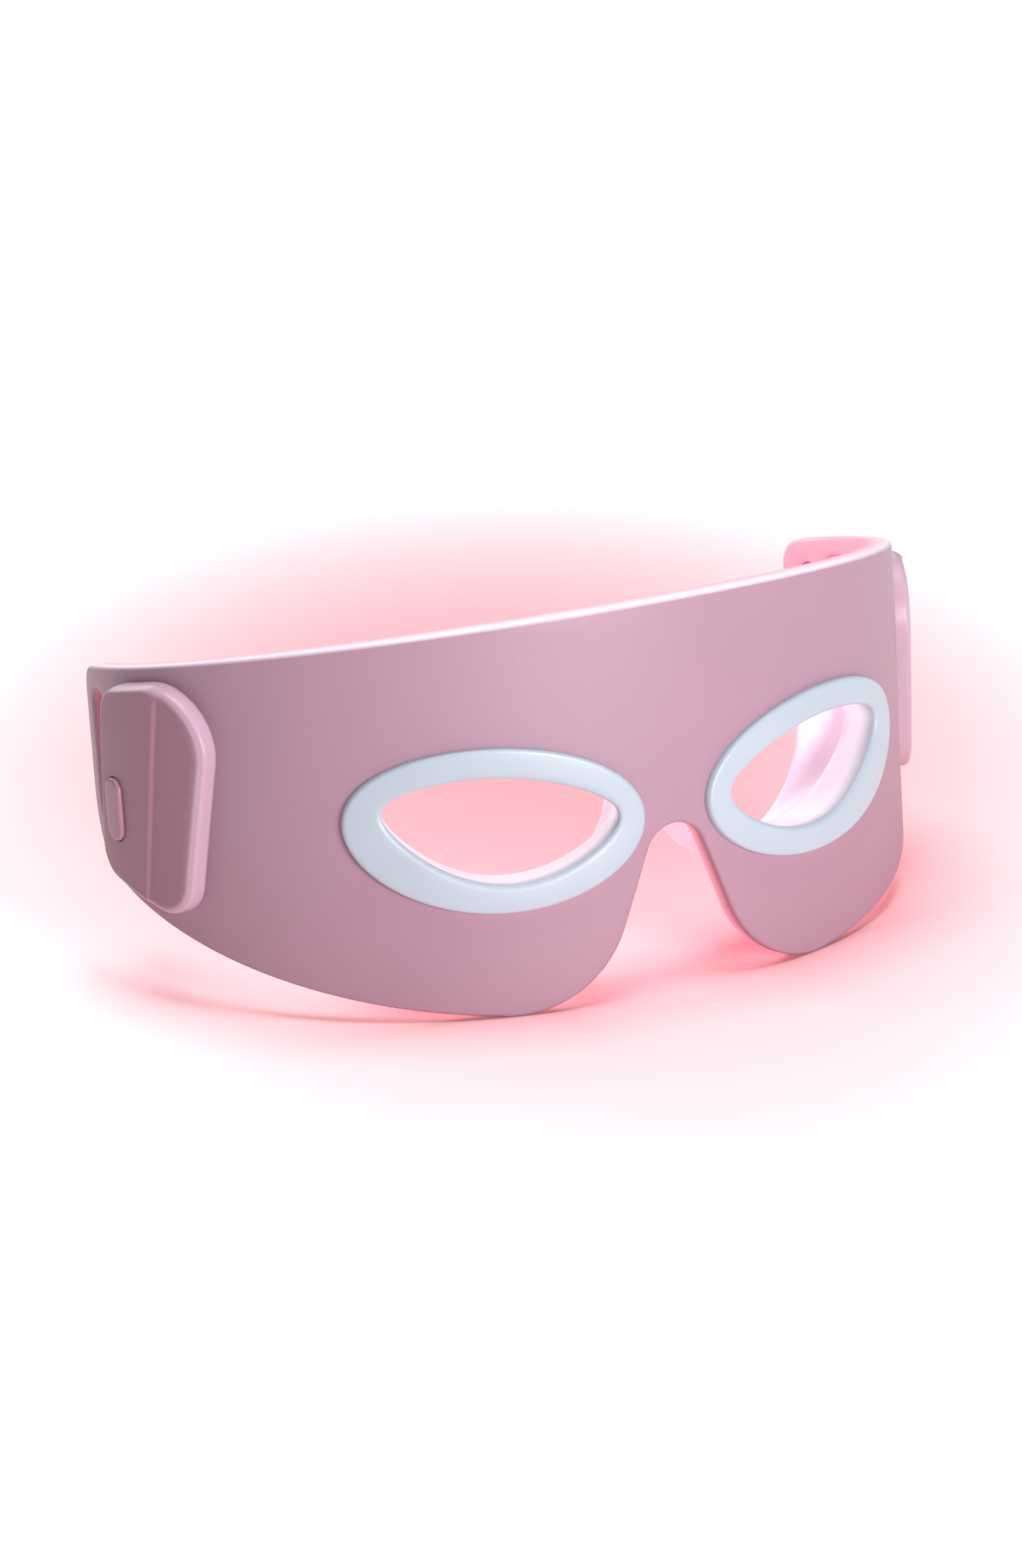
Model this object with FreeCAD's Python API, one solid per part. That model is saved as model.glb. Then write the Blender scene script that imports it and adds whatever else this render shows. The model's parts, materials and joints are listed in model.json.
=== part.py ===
"""Wrap-around light-therapy eye mask, as separate pieces, in millimetres.

Worn pose: +Z up, the front faces -Y, the wearer's right is -X, symmetric about X = 0.
The origin is under the middle of the mask, level with the lowest points of the cheek lobes.

A place on the band is (s, o, z): s is the arc length along the outer surface from the nose line,
o is the distance outward from that surface, and z is the height.
"""
import FreeCAD, Part
import math
import os
from FreeCAD import Vector

# Band: two arcs in plan on each side, cut by a sloping top plane and a sloping bottom plane.
FRONT_R = 95.0
WING_R = 69.0
FRONT_ARC = 39.1
DEPTH = 85.7
FRONT_Y = -42.25
BAND_T = 4.5
TOP_Z = 73.6
TOP_SLOPE = -0.18
BOTTOM_Z = -1.6
BOTTOM_SLOPE = 0.2875
END_R = 5.5
END_LOW_R = 16.0
EDGE_R = 1.5

# Nose notch and cheek lobes, seen from the front.
NOTCH_APEX_Z = 31.8
NOTCH_APEX_R = 6.0
LOBE_R = 22.0
LOBE_X = 31.5
LOBE_Z = 0.0
LOBE_RISE = math.radians(5.6)

# Layers through the band, as offsets from its outer surface.
SKIN_T = 2.4
BOARD_T = 0.4
LED_T = 0.6
LINER_OUT = -3.5
LINER_IN = -4.3
RIM = 3.4
FIT = 0.1

# Eye openings.
EYE_S = 34.0
EYE_Z = 35.7
EYE_TILT = math.radians(3.2)
RING_W, RING_H = 54.6, 30.4
RING_PROUD = 1.4
HOLE_W, HOLE_H = 47.6, 23.6
TUBE_W, TUBE_H = 42.8, 20.4
TUBE_SHIFT = -1.2
TUBE_DEPTH = 9.5
CUP_START = 4.9
CUP_DEPTH = 21.0
CUP_W, CUP_H = 44.0, 38.0
CUP_T = 1.8

# Temple joint: a vertical knuckle line in the band.
HINGE_S = 72.0
KNUCKLE_GAP = 0.3
LEAF_START = HINGE_S + 4.0
FRONT_LEAF_END = HINGE_S - 4.6
WING_LAYER_END = 119.0

# Strap slots.
SLOT_S = 125.2
SLOT_W = 6.6
SLOT_Z0, SLOT_Z1 = 29.2, 55.0

# Pods on the temples.
POD_PROUD = 4.2
POD_WALL = 1.2
POD_EDGE_R = 1.9
POD_MARGIN_TOP = 3.0
POD_MARGIN_BOTTOM = 4.5
WINDOW_INSET = 3.2
BASE_INSET = 1.6
BASE_T = 0.9
SCREW_R = 0.8
SCREW_HEAD_R = 1.5
SCREW_SPOTS = ((92.0, 51.2), (109.4, 51.6), (97.2, 24.8), (110.8, 26.6))

# Power button on the wearer's right pod.
BUTTON_S, BUTTON_Z = 111.0, 36.0
BUTTON_W, BUTTON_H = 5.0, 12.0
BUTTON_RAISE = 0.9
BUTTON_GAP = 0.25
LIP_T = 0.45
LIP_PLAY = 0.15
SWITCH_TOP = 1.72

# Boards and cell in the pods: (s, z, width, height), flat boards square to the normal at s.
CONTROL_BOARD = (104.0, 39.0, 16.8, 15.6)
CHARGE_BOARD = (103.9, 31.3, 13.5, 5.6)
PCB_T = 0.8
PCB_IN = -1.2
CONTROL_PLUG = (97.6, 42.0, 3.0, 8.0)
CHARGE_PLUG = (102.5, 31.3, 6.0, 3.0)
CELL_S = (94.6, 107.2)
CELL_Z = (34.6, 53.4)
CELL_IN, CELL_OUT = -1.05, 2.75

# USB-C socket under the wearer's left pod, and the scoop in the silicone for its plug.
USB_S = 104.0
USB_W, USB_T, USB_L = 8.94, 3.1, 7.3
SCOOP_W, SCOOP_D = 13.5, 1.5

PITCH = 9.6
LOW, HIGH = -30.0, 100.0

# The straight side of the notch is tangent to the apex arc and to the lobe arc.
LOBE_FALL = NOTCH_APEX_Z - NOTCH_APEX_R - LOBE_Z - LOBE_R
NOTCH_LEAN = math.acos((NOTCH_APEX_R + LOBE_R) / math.hypot(LOBE_X, LOBE_FALL)) - math.atan2(LOBE_FALL, LOBE_X)

THETA_1 = FRONT_ARC / FRONT_R
C1 = Vector(0, FRONT_Y + FRONT_R, 0)
C2 = C1 + Vector(math.sin(THETA_1), -math.cos(THETA_1), 0) * (FRONT_R - WING_R)


def heading(s):
    """Direction of the band at arc length s, as an angle from +X."""
    a = abs(s)
    if a <= FRONT_ARC:
        t = a / FRONT_R
    else:
        t = THETA_1 + (a - FRONT_ARC) / WING_R
    return math.copysign(t, s)


def normal(s):
    t = heading(s)
    return Vector(math.sin(t), -math.cos(t), 0)


def tangent(s):
    t = heading(s)
    return Vector(math.cos(t), math.sin(t), 0)


def place(s, o=0.0, z=0.0):
    """Point on the band at arc length s, o outside the outer surface, at height z."""
    if abs(s) <= FRONT_ARC:
        centre, radius = C1, FRONT_R
    else:
        centre, radius = Vector(math.copysign(C2.x, s), C2.y, 0), WING_R
    p = centre + normal(s) * (radius + o)
    return Vector(p.x, p.y, z)


def plan_arcs(o, s_a, s_b):
    """The band's plan curve between two arc lengths, as arcs."""
    stops = [s_a] + [b for b in (-FRONT_ARC, FRONT_ARC) if s_a < b < s_b] + [s_b]
    arcs = []
    for a, b in zip(stops, stops[1:]):
        mid = (a + b) / 2
        arcs.append(Part.Arc(place(a, o, LOW), place(mid, o, LOW), place(b, o, LOW)).toShape())
    return arcs


def slab(o_in, o_out, s_a, s_b):
    """Upright wall that follows the band between two offsets."""
    edges = plan_arcs(o_out, s_a, s_b) + plan_arcs(o_in, s_a, s_b)
    for s in (s_a, s_b):
        edges.append(Part.makeLine(place(s, o_in, LOW), place(s, o_out, LOW)))
    wire = Part.Wire(Part.__sortEdges__(edges))
    return Part.Face(wire).extrude(Vector(0, 0, HIGH - LOW))


def rounded_face(corners, radii):
    """Flat face through corner points, each corner rounded by its radius."""
    edges = []
    ends = []
    count = len(corners)
    for i in range(count):
        before, here, after = corners[i - 1], corners[i], corners[(i + 1) % count]
        u = (before - here).normalize()
        v = (after - here).normalize()
        half = u.getAngle(v) / 2
        if radii[i] <= 0:
            ends.append((here, here))
            continue
        reach = radii[i] / math.tan(half)
        centre = here + (u + v).normalize() * (radii[i] / math.sin(half))
        first, last = here + u * reach, here + v * reach
        middle = centre + (here - centre).normalize() * radii[i]
        edges.append(Part.Arc(first, middle, last).toShape())
        ends.append((first, last))
    for i in range(count):
        a, b = ends[i - 1][1], ends[i][0]
        if a.distanceToPoint(b) > 1e-6:
            edges.append(Part.makeLine(a, b))
    return Part.Face(Part.Wire(Part.__sortEdges__(edges)))


def top_z(y):
    return TOP_Z + TOP_SLOPE * (y - FRONT_Y)


def bottom_z(y):
    return BOTTOM_Z + BOTTOM_SLOPE * (y - FRONT_Y)


def band_side(inset):
    """Side outline of the band as a block right across X, drawn in by an inset."""
    y0, y1 = FRONT_Y - 12, FRONT_Y + DEPTH - inset
    up = inset / math.cos(math.atan(BOTTOM_SLOPE))
    down = inset / math.cos(math.atan(TOP_SLOPE))
    corners = [
        Vector(-120, y0, bottom_z(y0) + up),
        Vector(-120, y1, bottom_z(y1) + up),
        Vector(-120, y1, top_z(y1) - down),
        Vector(-120, y0, top_z(y0) - down),
    ]
    high_r = END_R - min(inset, END_R - 1)
    low_r = END_LOW_R - min(inset, END_LOW_R - 1)
    return rounded_face(corners, [0, low_r, high_r, 0]).extrude(Vector(240, 0, 0))


def notch(inset):
    """The nose notch and the round of both lobes as a block along Y, grown by an inset."""
    apex_r = NOTCH_APEX_R + inset
    apex_c = NOTCH_APEX_Z - NOTCH_APEX_R
    lobe_r = LOBE_R - inset
    lobe_c = LOBE_Z + LOBE_R
    cos, sin = math.cos(NOTCH_LEAN), math.sin(NOTCH_LEAN)

    def at(x, z):
        return Vector(x, FRONT_Y - 12, z)

    apex_side = at(apex_r * cos, apex_c + apex_r * sin)
    lobe_side = at(LOBE_X - lobe_r * cos, lobe_c - lobe_r * sin)
    mid = (NOTCH_LEAN + math.pi / 2) / 2
    lobe_mid = at(LOBE_X - lobe_r * math.cos(mid), lobe_c - lobe_r * math.sin(mid))
    lobe_end = at(LOBE_X + lobe_r * math.sin(LOBE_RISE), lobe_c - lobe_r * math.cos(LOBE_RISE))
    foot = at(lobe_end.x, LOW)

    def other(p):
        return Vector(-p.x, p.y, p.z)

    edges = [Part.Arc(other(apex_side), at(0, apex_c + apex_r), apex_side).toShape()]
    for same in (True, False):
        p = [q if same else other(q) for q in (apex_side, lobe_side, lobe_mid, lobe_end, foot)]
        edges.append(Part.makeLine(p[0], p[1]))
        edges.append(Part.Arc(p[1], p[2], p[3]).toShape())
        edges.append(Part.makeLine(p[3], p[4]))
    edges.append(Part.makeLine(foot, other(foot)))
    wire = Part.Wire(Part.__sortEdges__(edges))
    return Part.Face(wire).extrude(Vector(0, 40, 0))


def eye_wire(width, height, depth, pinch=0.0, shift=0.0):
    """Closed almond across the eye axis, at a depth behind the band's outer surface."""
    n, t = normal(EYE_S), tangent(EYE_S)
    origin = place(EYE_S, -depth, EYE_Z)
    points = []
    for i in range(20):
        a = 2 * math.pi * i / 20
        u = width / 2 * math.cos(a) + shift
        w = height / 2 * math.sin(a) * (1 - pinch * math.cos(a) ** 2)
        du = u * math.cos(EYE_TILT) - w * math.sin(EYE_TILT)
        dw = u * math.sin(EYE_TILT) + w * math.cos(EYE_TILT)
        points.append(origin + t * du + Vector(0, 0, dw))
    curve = Part.BSplineCurve()
    curve.interpolate(Points=points, PeriodicFlag=True)
    return Part.Wire([curve.toShape()])


def eye_block(width, height, near, far, pinch=0.0, shift=0.0):
    """Straight almond block along the eye axis."""
    face = Part.Face(eye_wire(width, height, far, pinch, shift))
    return face.extrude(normal(EYE_S) * (far - near))


def mirrored(shape):
    return shape.mirror(Vector(0, 0, 0), Vector(1, 0, 0))


def pill(s, z, width, height, o_a, o_b):
    """Upright round-ended bar along the local normal, between two offsets."""
    n, t = normal(s), tangent(s)
    base = place(s, o_a, z)
    r = width / 2
    up = Vector(0, 0, height / 2 - r)
    ends = [base + up + t * r, base + up + Vector(0, 0, r), base + up - t * r]
    lows = [base - up - t * r, base - up - Vector(0, 0, r), base - up + t * r]
    edges = [
        Part.Arc(*ends).toShape(),
        Part.makeLine(ends[2], lows[0]),
        Part.Arc(*lows).toShape(),
        Part.makeLine(lows[2], ends[0]),
    ]
    return Part.Face(Part.Wire(edges)).extrude(n * (o_b - o_a))


def brick(s, z, width, height, o_a, o_b):
    """Flat rectangular block square to the local normal."""
    n, t = normal(s), tangent(s)
    corner = place(s, o_a, z) - t * (width / 2) - Vector(0, 0, height / 2)
    across, up = t * width, Vector(0, 0, height)
    wire = Part.makePolygon([corner, corner + across, corner + across + up, corner + up, corner])
    return Part.Face(wire).extrude(n * (o_b - o_a))


def peg(s, z, radius, o_a, o_b):
    return Part.makeCylinder(radius, o_b - o_a, place(s, o_a, z), normal(s))


def rod_at_hinge(radius):
    centre = place(HINGE_S, -BAND_T / 2, LOW)
    return Part.makeCylinder(radius, HIGH - LOW, centre, Vector(0, 0, 1))


def soften(shape, radius, wanted):
    """Fillet the edges that the test picks, and keep the plain shape if the kernel can't."""
    edges = [e for e in shape.Edges if wanted(e)]
    try:
        soft = shape.makeFillet(radius, edges)
        if soft.isValid() and soft.Volume > 0:
            return soft
    except Part.OCCError:
        pass
    print("edge left sharp:", len(edges), "edges at", radius)
    return shape


def is_upright(edge):
    a, b = edge.valueAt(edge.FirstParameter), edge.valueAt(edge.LastParameter)
    return abs(a.x - b.x) < 1e-4 and abs(a.y - b.y) < 1e-4


def band_body():
    """The whole band with soft edges, before the openings are cut."""
    end_s = FRONT_ARC + WING_R * (math.asin((DEPTH + FRONT_Y - C2.y) / WING_R) + math.pi / 2 - THETA_1)
    body = slab(-BAND_T, 0, -end_s - 6, end_s + 6).common(band_side(0)).cut(notch(0))

    def on_rim(edge):
        p = edge.valueAt((edge.FirstParameter + edge.LastParameter) / 2)
        return not (is_upright(edge) and abs(p.y - FRONT_Y - DEPTH) > 0.5)

    return soften(body, EDGE_R, on_rim)


def layer(o_in, o_out, s_a, s_b, inset):
    """A sheet inside the band, drawn in from the rim."""
    return slab(o_in, o_out, s_a, s_b).common(band_side(inset)).cut(notch(inset))


def pod_side(inset):
    """Side outline of a pod as a block from the band outward on +X, drawn in by an inset."""
    f = FRONT_Y
    corners = [
        Vector(30, f + 45.4 + inset, bottom_z(f + 45.4) + POD_MARGIN_BOTTOM + inset),
        Vector(30, f + 70.8 - inset, bottom_z(f + 70.8) + POD_MARGIN_BOTTOM + inset),
        Vector(30, f + 66.7 - inset, top_z(f + 66.7) - POD_MARGIN_TOP - inset),
        Vector(30, f + 35.7 + inset, top_z(f + 35.7) - POD_MARGIN_TOP - inset),
    ]
    radii = [max(r - inset, 1.5) for r in (7.0, 7.0, 6.5, 12.0)]
    return rounded_face(corners, radii).extrude(Vector(90, 0, 0))


def pod_cover():
    """Hollow temple pod cover with four screw bosses, for the +X side."""
    block = slab(0, POD_PROUD, 74, 132).common(pod_side(0))

    def on_face(edge):
        p = edge.valueAt((edge.FirstParameter + edge.LastParameter) / 2)
        reach = math.hypot(p.x - C2.x, p.y - C2.y)
        return abs(reach - WING_R - POD_PROUD) < 0.01

    block = soften(block, POD_EDGE_R, on_face)
    hollow = slab(-1, POD_PROUD - POD_WALL, 74, 132).common(pod_side(POD_WALL + 0.3))
    cover = block.cut(hollow)
    for s, z in SCREW_SPOTS:
        cover = cover.fuse(peg(s, z, SCREW_R + 1.0, -SKIN_T + BASE_T + FIT, POD_PROUD - POD_WALL + 0.2))
    for s, z in SCREW_SPOTS:
        cover = cover.cut(peg(s, z, SCREW_R, -5, POD_PROUD - POD_WALL - 0.3))
    return cover.removeSplitter()


def pod_base(board, plug):
    """Curved base plate that clamps the silicone against the pod cover."""
    plate = slab(-SKIN_T, -SKIN_T + BASE_T, 74, 132).common(pod_side(BASE_INSET))
    for s, z in SCREW_SPOTS:
        plate = plate.cut(peg(s, z, SCREW_R + 0.1, -6, 4))
        plate = plate.cut(peg(s, z, SCREW_HEAD_R + 0.1, -6, -SKIN_T + 0.5))
    return plate.cut(connector(board, plug, 0.2))


def screws():
    """Four pan-head screws from the base plate into the cover bosses."""
    group = []
    for s, z in SCREW_SPOTS:
        shank = peg(s, z, SCREW_R - 0.02, -SKIN_T + 0.3, POD_PROUD - POD_WALL - 0.5)
        head = peg(s, z, SCREW_HEAD_R, -SKIN_T, -SKIN_T + 0.4)
        group.append(shank.fuse(head).removeSplitter())
    return Part.makeCompound(group)


def on_board(board, s, z, width, height, o_a, o_b):
    """A block that stands square to a flat board, placed by its own s and z."""
    block = brick(board[0], z, width, height, o_a, o_b)
    block.translate(tangent(board[0]) * (s - board[0]))
    return block


def connector(board, plug, grow=0.0):
    """Board-to-board connector that passes through the base plate."""
    s, z, width, height = plug
    block = on_board(board, s, z, width + 2 * grow, height + 2 * grow, -SKIN_T - 1, PCB_IN - 0.02 + grow)
    return block.common(slab(-SKIN_T + 0.03 - 2 * grow, 5, 74, 132))


def flat_board(board):
    s, z, width, height = board
    return brick(s, z, width, height, PCB_IN, PCB_IN + PCB_T)


def battery():
    """Curved pouch cell with a folded top seam."""
    (s_a, s_b), (z_a, z_b) = CELL_S, CELL_Z
    span = Part.makeBox(200, 200, z_b - z_a, Vector(-100, -100, z_a))
    cell = slab(CELL_IN, CELL_OUT, s_a, s_b).common(span)
    seam_span = Part.makeBox(200, 200, 1.2, Vector(-100, -100, z_b))
    seam = slab(CELL_IN + 1.1, CELL_OUT - 1.1, s_a + 1, s_b - 1).common(seam_span)
    return cell.fuse(seam).removeSplitter()


def wing_shell():
    """Temple wing of the silicone shell for the +X side, with pod window and strap slot."""
    region = slab(-BAND_T - 9, 9, HINGE_S, 140).fuse(rod_at_hinge(BAND_T / 2))
    wing = BAND.common(region)
    wing = wing.cut(layer(-BAND_T - 3, -SKIN_T, LEAF_START, WING_LAYER_END + 0.4, RIM))
    wing = wing.cut(slab(-3, 1, 74, 132).common(pod_side(WINDOW_INSET)))
    wing = wing.cut(slab(-3, -SKIN_T + BASE_T, 74, 132).common(pod_side(BASE_INSET - FIT)))
    slot_z, slot_h = (SLOT_Z0 + SLOT_Z1) / 2, SLOT_Z1 - SLOT_Z0
    wing = wing.cut(pill(SLOT_S, slot_z, SLOT_W, slot_h, -12, 6))
    return biggest(wing)


def biggest(shape):
    solids = sorted(shape.Solids, key=lambda one: one.Volume)
    return solids[-1].removeSplitter()


def front_shell():
    """Front of the silicone shell between the two temple knuckles."""
    wall = BAND.common(slab(-BAND_T - 9, 9, -HINGE_S, HINGE_S))
    hollow = layer(-BAND_T - 3, -SKIN_T, -FRONT_LEAF_END, FRONT_LEAF_END, RIM)
    rod = rod_at_hinge(BAND_T / 2 + KNUCKLE_GAP)
    hole = eye_block(HOLE_W, HOLE_H, -8, 16)
    for cutter in (rod, hole):
        wall = wall.cut(cutter).cut(mirrored(cutter))
    collar = eye_block(HOLE_W + 4, HOLE_H + 4, -8, 16)
    hollow = hollow.cut(collar).cut(mirrored(collar))
    return biggest(wall.cut(hollow))


def sheet(o_in, o_out, s_a, s_b, inset, eyes):
    """Inner layer with eye holes where it needs them."""
    piece = layer(o_in, o_out, s_a, s_b, inset)
    if eyes:
        hole = eye_block(HOLE_W + 4.2, HOLE_H + 4.2, -8, 16)
        piece = piece.cut(hole).cut(mirrored(hole))
    return biggest(piece)


def eye_ring():
    """Pearl bezel on the face of the band with a short tube through it, +X side."""
    flange = slab(0, RING_PROUD, 0.5, 70).common(eye_block(RING_W, RING_H, -14, 16))

    def outer_edge(edge):
        p = edge.valueAt((edge.FirstParameter + edge.LastParameter) / 2)
        s_near = abs(math.hypot(p.x - C1.x, p.y - C1.y) - FRONT_R - RING_PROUD) < 0.05
        return s_near or abs(math.hypot(p.x - C2.x, p.y - C2.y) - WING_R - RING_PROUD) < 0.05

    flange = soften(flange, 0.9, lambda e: outer_edge(e) and not is_upright(e))
    tube = eye_block(HOLE_W - 0.2, HOLE_H - 0.2, -RING_PROUD, TUBE_DEPTH)
    tube = tube.cut(slab(0, 30, 0.5, 80))
    bore = eye_block(TUBE_W, TUBE_H, -20, 30, 0.1, TUBE_SHIFT)
    return biggest(flange.fuse(tube).cut(bore))


def eye_cup():
    """Deep soft cup behind each opening, flaring to a rounder rim, +X side."""
    outer = Part.makeLoft([
        eye_wire(HOLE_W + 2 * CUP_T, HOLE_H + 2 * CUP_T, CUP_START),
        eye_wire(HOLE_W + 2 * CUP_T - 1, HOLE_H + 2 * CUP_T + 3, TUBE_DEPTH + 1.5),
        eye_wire(CUP_W, CUP_H, CUP_DEPTH, 0.0, -0.8),
    ], True)
    inner = Part.makeLoft([
        eye_wire(HOLE_W - 1, HOLE_H - 1, TUBE_DEPTH - 0.5),
        eye_wire(HOLE_W - 1.8, HOLE_H + 2.4, TUBE_DEPTH + 3),
        eye_wire(CUP_W - 2 * CUP_T, CUP_H - 2 * CUP_T, CUP_DEPTH + 0.5, 0.0, -0.8),
    ], True)
    socket = eye_block(HOLE_W - 0.1, HOLE_H - 0.1, -5, TUBE_DEPTH + 0.1)
    cup = outer.cut(inner).cut(socket)
    return biggest(cup.cut(slab(-BAND_T - 0.1, 30, 0.2, 90)))


def clear_of_eyes(s, z):
    """True where an LED has room between the eye holes and the notch."""
    u, w = (abs(s) - EYE_S) / 30.5, (z - EYE_Z) / 18.5
    if u * u + w * w < 1:
        return False
    return not (abs(s) < 12 and z < NOTCH_APEX_Z + 8)


def clear_of_notch(s, z):
    """True where an LED in a lobe keeps off the rim beside the notch."""
    rise = z - LOBE_Z - LOBE_R
    reach = math.hypot(min(abs(s) - LOBE_X, 0), rise)
    return rise > 0 or reach < LOBE_R - RIM - 2.6


def led_spots(s_a, s_b):
    """LED grid positions between two arc lengths, inside the rim."""
    spots = []
    columns = int((s_b - s_a) / PITCH)
    start = (s_a + s_b) / 2 - columns * PITCH / 2
    for i in range(columns + 1):
        s = start + i * PITCH
        y = place(s).y
        low, high = bottom_z(y) + RIM + 4, top_z(y) - RIM - 3
        rows = int((high - low) / PITCH)
        for j in range(rows + 1):
            z = low + (high - low) * j / rows
            if clear_of_eyes(s, z) and clear_of_notch(s, z):
                spots.append((i + j, s, z))
    return spots


def led_group(s_a, s_b, parity=None):
    """Face-side LEDs on a carrier board; a parity picks every second one."""
    face = -SKIN_T - BOARD_T
    chips = []
    for turn, s, z in led_spots(s_a, s_b):
        if parity is None or turn % 2 == parity:
            chips.append(brick(s, z, 2.8, 3.5, face - LED_T, face - 0.03))
    return Part.makeCompound(chips)


def power_button():
    """Pill-shaped button with a retaining lip and a stem, built on the +X side."""
    lip_top = POD_PROUD - POD_WALL - LIP_PLAY
    face = POD_PROUD + BUTTON_RAISE
    cap = pill(BUTTON_S, BUTTON_Z, BUTTON_W, BUTTON_H, lip_top, face)

    def on_face(edge):
        return abs((edge.CenterOfMass - place(BUTTON_S)).dot(normal(BUTTON_S)) - face) < 0.01

    cap = soften(cap, 0.7, on_face)
    lip = pill(BUTTON_S, BUTTON_Z, BUTTON_W + 1.4, BUTTON_H + 1.4, lip_top - LIP_T, lip_top)
    return cap.fuse(lip).removeSplitter()


def usb_socket():
    """USB-C receptacle shell with its tongue, mouth down."""
    z0 = bottom_z(place(USB_S).y) + POD_MARGIN_BOTTOM + 0.6
    n, t = normal(USB_S), tangent(USB_S)

    def stadium(width, thick, z_a, z_b):
        r = thick / 2 - 0.01
        centre = place(USB_S, 0.1, z_a)
        a, b = centre - t * (width / 2 - r), centre + t * (width / 2 - r)
        edges = [
            Part.makeLine(a + n * r, b + n * r),
            Part.Arc(b + n * r, b + t * r, b - n * r).toShape(),
            Part.makeLine(b - n * r, a - n * r),
            Part.Arc(a - n * r, a - t * r, a + n * r).toShape(),
        ]
        return Part.Face(Part.Wire(edges)).extrude(Vector(0, 0, z_b - z_a))

    shell = stadium(USB_W, USB_T, z0, z0 + USB_L)
    shell = shell.cut(stadium(USB_W - 0.6, USB_T - 0.6, z0 - 1, z0 + USB_L - 1.2))
    tongue = brick(USB_S, z0 + USB_L / 2, 6.6, USB_L - 1.6, -0.25, 0.45)
    return shell.fuse(tongue).removeSplitter(), stadium(USB_W + 0.3, USB_T + 0.3, z0 - 12, z0 + USB_L)


def export(name, shape):
    shape.exportStep("parts/" + name + ".step")
    print(name, round(shape.Volume, 1), "valid" if shape.isValid() else "INVALID", len(shape.Solids))


def export_pair(kind, shape):
    """Write the +X piece as the left one and its mirror as the right one."""
    export("left_" + kind, shape)
    export("right_" + kind, mirrored(shape))


def right_side():
    """The control pod and wing on the wearer's right, built on +X and mirrored."""
    gap = 2 * BUTTON_GAP
    way = pill(BUTTON_S, BUTTON_Z, BUTTON_W + gap, BUTTON_H + gap, 0.5, 6)
    top = PCB_IN + PCB_T + 0.02
    export("right_temple_shell", mirrored(wing_shell()))
    export("control_pod_cover", mirrored(pod_cover().cut(way)))
    export("control_pod_base", mirrored(pod_base(CONTROL_BOARD, CONTROL_PLUG)))
    export("control_board", mirrored(flat_board(CONTROL_BOARD)))
    export("control_connector", mirrored(connector(CONTROL_BOARD, CONTROL_PLUG)))
    chip = on_board(CONTROL_BOARD, 103.5, 42.4, 5.0, 5.0, top, top + 0.8)
    coil = on_board(CONTROL_BOARD, 99.0, 35.2, 4.0, 4.0, top, top + 1.2)
    switch = brick(BUTTON_S, BUTTON_Z, 3.0, 4.0, 0.12, SWITCH_TOP)
    export("controller_chip", mirrored(chip))
    export("boost_inductor", mirrored(coil))
    export("tact_switch", mirrored(switch))
    export("power_button", mirrored(power_button()))


def left_side():
    """The charging pod and wing on the wearer's left, with the USB-C socket."""
    socket, way = usb_socket()
    scoop = brick(USB_S, 8.6, SCOOP_W, 23.2, -SCOOP_D, 6)
    export("left_temple_shell", biggest(wing_shell().cut(scoop).cut(way)))
    export("charge_pod_cover", pod_cover().cut(way))
    export("charge_pod_base", pod_base(CHARGE_BOARD, CHARGE_PLUG).cut(way))
    export("charge_board", flat_board(CHARGE_BOARD))
    export("charge_connector", connector(CHARGE_BOARD, CHARGE_PLUG))
    top = PCB_IN + PCB_T + 0.02
    export("charger_chip", on_board(CHARGE_BOARD, 107.2, 31.3, 3.0, 3.0, top, top + 0.8))
    export("battery", battery())
    export("usb_socket", socket)


def front():
    """Everything that the front shell carries."""
    face = -SKIN_T - BOARD_T
    leaf = FRONT_LEAF_END
    export("front_shell", front_shell())
    export("front_liner", sheet(LINER_IN, LINER_OUT, -leaf + 0.3, leaf - 0.3, RIM + 0.1, True))
    export("front_led_board", sheet(face, -SKIN_T, -leaf + 1, leaf - 1, RIM + 0.6, True))
    export("front_red_leds", led_group(-leaf + 4, leaf - 4, 0))
    export("front_infrared_leds", led_group(-leaf + 4, leaf - 4, 1))
    export_pair("eye_ring", eye_ring())
    export_pair("eye_cup", eye_cup())


def wing_layers():
    """Liner, LED board, LEDs and pod screws, alike on both sides."""
    face = -SKIN_T - BOARD_T
    a, b = LEAF_START, WING_LAYER_END
    export_pair("temple_liner", sheet(LINER_IN, LINER_OUT, a + 0.2, b, RIM + 0.1, False))
    export_pair("temple_led_board", sheet(face, -SKIN_T, a + 1, b - 1, RIM + 0.6, False))
    export_pair("temple_leds", led_group(a + 5, b - 5))
    export_pair("pod_screws", screws())


os.makedirs("parts", exist_ok=True)
BAND = band_body()
front()
wing_layers()
right_side()
left_side()
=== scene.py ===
import json
import math

import bmesh
import bpy
import numpy as np
from mathutils import Matrix, Vector
from mathutils.geometry import delaunay_2d_cdt


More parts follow.
